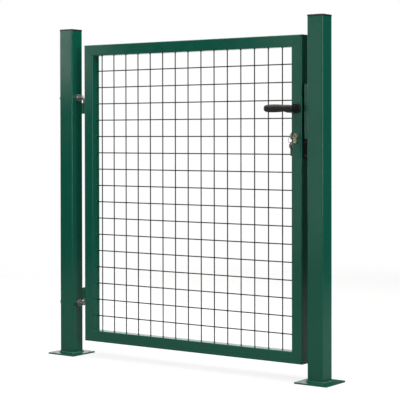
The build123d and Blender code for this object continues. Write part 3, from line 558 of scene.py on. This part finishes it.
sleeve_beads = bmesh.new()
for sleeve in ("upper_hinge_sleeve", "lower_hinge_sleeve"):
    sleeve_low, sleeve_high = box_mm(sleeve)
    for side in (-1, 1):
        edge = (LEAF_X0 - SLEEVE_BEAD_OUT, side * SLEEVE_BEAD_Y)
        weld_run(sleeve_beads, (*edge, sleeve_low.z + SLEEVE_BEAD_IN),
                 (*edge, sleeve_high.z - SLEEVE_BEAD_IN), SLEEVE_BEAD_R)
finished(sleeve_beads, "hinge_sleeve_welds", "leaf", "green_coat", 60.0)


# ================= stitch welds of the keep and the stop tabs =================
def stitch(bm, y, mid_z, length):
    """One short upright bead on the face of the lock post."""
    weld_run(bm, (POST_FACE_X - STITCH_OUT, y, mid_z - length / 2),
             (POST_FACE_X - STITCH_OUT, y, mid_z + length / 2), STITCH_R)


keep_beads = bmesh.new()
for side, keep_y in ((-1, KEEP_LOW.y), (1, KEEP_HIGH.y)):
    for mid_z in spaced(KEEP_LOW.z + STITCH_IN, KEEP_HIGH.z - STITCH_IN, STITCHES):
        behind_tab = any(abs(mid_z - tab_z) < TAB_CLEAR for tab_z in TAB_ZS)
        if side < 0 or not behind_tab:
            stitch(keep_beads, keep_y + STITCH_PROUD * side, mid_z, STITCH)
tabs_low, tabs_high = box_mm("leaf_stop_tabs")
for mid_z in (tabs_low.z + TAB_STITCH_IN, tabs_high.z - TAB_STITCH_IN):
    stitch(keep_beads, tabs_high.y + TAB_STITCH_PROUD, mid_z, TAB_STITCH)
finished(keep_beads, "keep_stitch_welds", "posts", "green_coat", 60.0)


# ================= screws of the lock =================
def countersunk(bm, face_x, z, length):
    """A countersunk screw along X with a cross recess in its head."""
    point = [(-length, 0.0), (-length + 1.0, 1.5), (-length + 2.2, SCREW_SHANK_R)]
    outline = point + list(SCREW_HEAD_OUTLINE)
    verts = [bm.verts.new((face_x + x, 0.0, z + r)) for x, r in outline]
    edges = [bm.edges.new(pair) for pair in zip(verts, verts[1:])]
    bmesh.ops.spin(bm, geom=verts + edges, cent=(face_x, 0, z), axis=(1, 0, 0),
                   angle=2 * math.pi, steps=SCREW_SIDES, use_merge=True)
    for v in bm.verts:
        axis_point = Vector((v.co.x, 0.0, z))
        off = v.co - axis_point
        if v.co.x > face_x - CROSS_DEPTH and CROSS_REACH[0] < off.length < CROSS_REACH[1]:
            quarter = math.degrees(math.atan2(off.z, off.y)) % 90
            if CROSS_GAP[0] < quarter < CROSS_GAP[1]:
                v.co = axis_point + off * CROSS_DRAWN_IN


plate_screws = bmesh.new()
screws_low, screws_high = box_mm("forend_screws")
for screw_z in (screws_low.z + SCREW_HEAD_R, screws_high.z - SCREW_HEAD_R):
    countersunk(plate_screws, FOREND_FACE_X, screw_z, PLATE_SCREW_LENGTH)
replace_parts(finished(plate_screws, "forend_plate_screws", "leaf", "screw_zinc", 30.0),
            "forend_screws")
fixing_low, fixing_high = box_mm("cylinder_fixing_screw")
fixing = bmesh.new()
countersunk(fixing, FOREND_FACE_X, (fixing_low.z + fixing_high.z) / 2,
            fixing_high.x - fixing_low.x)
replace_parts(finished(fixing, "cylinder_retaining_screw", "leaf", "screw_zinc", 30.0),
            "cylinder_fixing_screw")


# ================= latch spring =================
def coil_spring():
    """The latch's coil spring, built at the latch's rest place; the real spring shortens as the
    latch is drawn back.
    """
    low, high = box_mm("latch_spring")
    mid_z = (low.z + high.z) / 2
    coil_r = (high.z - low.z) / 2 - SPRING_WIRE_R
    steps = SPRING_TURNS * SPRING_STEPS
    length = high.x - low.x - 2 * SPRING_WIRE_R
    bm = bmesh.new()
    ring = ring_at(bm, (low.x + SPRING_WIRE_R, 0, mid_z + coil_r), (0, 1, 0), SPRING_WIRE_R,
                   SPRING_SIDES)
    verts = list({v for e in ring for v in e.verts})
    bmesh.ops.spin(bm, geom=verts + ring, cent=(low.x, 0, mid_z), axis=(1, 0, 0),
                   dvec=(length / steps, 0, 0), angle=2 * math.pi * SPRING_TURNS,
                   steps=steps, use_merge=False)
    bmesh.ops.holes_fill(bm, edges=[e for e in bm.edges if e.is_boundary], sides=SPRING_SIDES)
    spring = finished(bm, "latch_coil_spring", "leaf", "spring_steel", 60.0)
    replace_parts(spring, "latch_spring")
    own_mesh(spring)


coil_spring()


# ================= rolled rims on the key bows =================
def bow_rims(name, node, body, bow_y, bow_z):
    """Two raised rims on each face of a key's round bow."""
    low, high = box_mm(node)
    rims = bmesh.new()
    for face_x in (low.x, high.x):
        for radius in RIM_RS:
            ring = ring_at(rims, (face_x, bow_y, bow_z + radius), (0, 1, 0), RIM_WIRE_R,
                           RIM_WIRE_SIDES)
            verts = list({v for e in ring for v in e.verts})
            bmesh.ops.spin(rims, geom=verts + ring, cent=(face_x, bow_y, bow_z), axis=(1, 0, 0),
                           angle=2 * math.pi, steps=RIM_STEPS, use_merge=True)
    finished(rims, name, body, "key_nickel", 80.0)


key_low, key_high = box_mm("key_in_cylinder")
BOW_R = (key_high.z - key_low.z) / 2
bow_rims("key_bow_rims", "key_in_cylinder", "key", key_low.y + BOW_R, (key_low.z + key_high.z) / 2)
spare_low, spare_high = box_mm("spare_key")
bow_rims("spare_key_bow_rims", "spare_key", "key_ring", (spare_low.y + spare_high.y) / 2,
         spare_high.z - BOW_R)


# ================= floor, light and camera =================
def stage_floor():
    """A pale round floor whose edge fades away."""
    bm = bmesh.new()
    bmesh.ops.create_circle(bm, cap_ends=True, segments=96, radius=FLOOR_R)
    mesh = bpy.data.meshes.new("studio_floor")
    bm.to_mesh(mesh)
    bm.free()
    floor = bpy.data.objects.new("studio_floor", mesh)
    bpy.context.scene.collection.objects.link(floor)
    made, tree = surface("pale_studio_floor")
    place = add(tree, "ShaderNodeTexCoord").outputs["Object"]
    reach = add(tree, "ShaderNodeVectorMath", {"operation": "LENGTH"}, {0: place})
    fade = add(tree, "ShaderNodeMapRange", {"interpolation_type": "SMOOTHSTEP"},
               {"Value": reach.outputs["Value"], "From Min": FLOOR_R * FLOOR_FADE[0],
                "From Max": FLOOR_R * FLOOR_FADE[1]})
    pale = add(tree, "ShaderNodeBsdfDiffuse", inputs={"Color": srgb("#EAEAE8")})
    path = add(tree, "ShaderNodeLightPath")
    glow = add(tree, "ShaderNodeEmission", inputs={
        "Color": (FLOOR_GLOW, FLOOR_GLOW, FLOOR_GLOW, 1),
        "Strength": path.outputs["Is Camera Ray"]})
    share = add(tree, "ShaderNodeMath", {"operation": "MULTIPLY_ADD"}, {
        0: path.outputs["Is Camera Ray"], 1: FLOOR_VEIL - FLOOR_DIM, 2: FLOOR_DIM})
    veil = add(tree, "ShaderNodeMixShader", inputs={
        0: share.outputs["Value"], 1: pale.outputs["BSDF"], 2: glow.outputs["Emission"]})
    clear = add(tree, "ShaderNodeBsdfTransparent")
    mixed = add(tree, "ShaderNodeMixShader", inputs={
        0: fade.outputs["Result"], 1: veil.outputs["Shader"], 2: clear.outputs["BSDF"]})
    add(tree, "ShaderNodeOutputMaterial", inputs={"Surface": mixed.outputs["Shader"]})
    mesh.materials.append(made)


def softbox(name, place, aim, width, height, radiance):
    """A rectangular area light at a place, turned to a point, with a given brightness."""
    light = bpy.data.lights.new(name, "AREA")
    light.shape = "RECTANGLE"
    light.size, light.size_y = width, height
    light.energy = radiance * math.pi * width * height
    made = bpy.data.objects.new(name, light)
    made.location = place
    made.rotation_euler = (Vector(aim) - Vector(place)).to_track_quat("-Z", "Y").to_euler()
    bpy.context.scene.collection.objects.link(made)


def studio_world(seen, around):
    """White where the camera sees past the floor, a dim even grey for light and reflections."""
    world = bpy.data.worlds.new("studio")
    world.use_nodes = True
    tree = world.node_tree
    tree.nodes.clear()
    path = add(tree, "ShaderNodeLightPath")
    backdrop = add(tree, "ShaderNodeBackground", inputs={"Color": (1, 1, 1, 1), "Strength": seen})
    dim = add(tree, "ShaderNodeBackground", inputs={"Color": srgb("#F2F4F6"), "Strength": around})
    mixed = add(tree, "ShaderNodeMixShader", inputs={
        0: path.outputs["Is Camera Ray"], 1: dim.outputs["Background"],
        2: backdrop.outputs["Background"]})
    add(tree, "ShaderNodeOutputWorld", inputs={"Surface": mixed.outputs["Shader"]})
    bpy.context.scene.world = world


stage_floor()
studio_world(BACKDROP, SURROUND)
# name, place, what it points at, width, height, brightness; all in metres
softbox("upper_left_softbox", (-3.5, -3.0, 1.75), (-3.5, 0.0, 1.75), 0.9, 1.2, 2.8)
softbox("tall_front_strip", (-1.25, -3.0, 1.3), (-1.25, 0.0, 1.3), 0.7, 2.4, 0.75)
softbox("overhead", (0.0, -0.3, 3.6), (0.0, -0.3, 0.0), 5.4, 5.4, 2.2)
softbox("right_key", (5.6, -1.8, 1.7), (0.0, 0.0, 0.9), 2.2, 3.0, 6.5)
softbox("back_left_fill", (-3.6, 3.6, 1.5), (0.0, 0.0, 0.4), 3.4, 2.4, 1.2)
softbox("left_fill", (-4.4, -1.3, 1.3), (0.3, 0.0, 0.9), 1.3, 2.0, 4.0)

lens = bpy.data.cameras.new("camera")
lens.lens = CAMERA_LENS
lens.sensor_width = CAMERA_FILM
lens.shift_y = CAMERA_SHIFT_Y
lens.clip_end = CAMERA_REACH
camera = bpy.data.objects.new("camera", lens)
camera.location = CAMERA_PLACE
camera.rotation_euler = CAMERA_TURN
bpy.context.scene.collection.objects.link(camera)
bpy.context.scene.camera = camera
bpy.context.scene.view_settings.view_transform = "Standard"
bpy.context.scene.view_settings.look = "None"
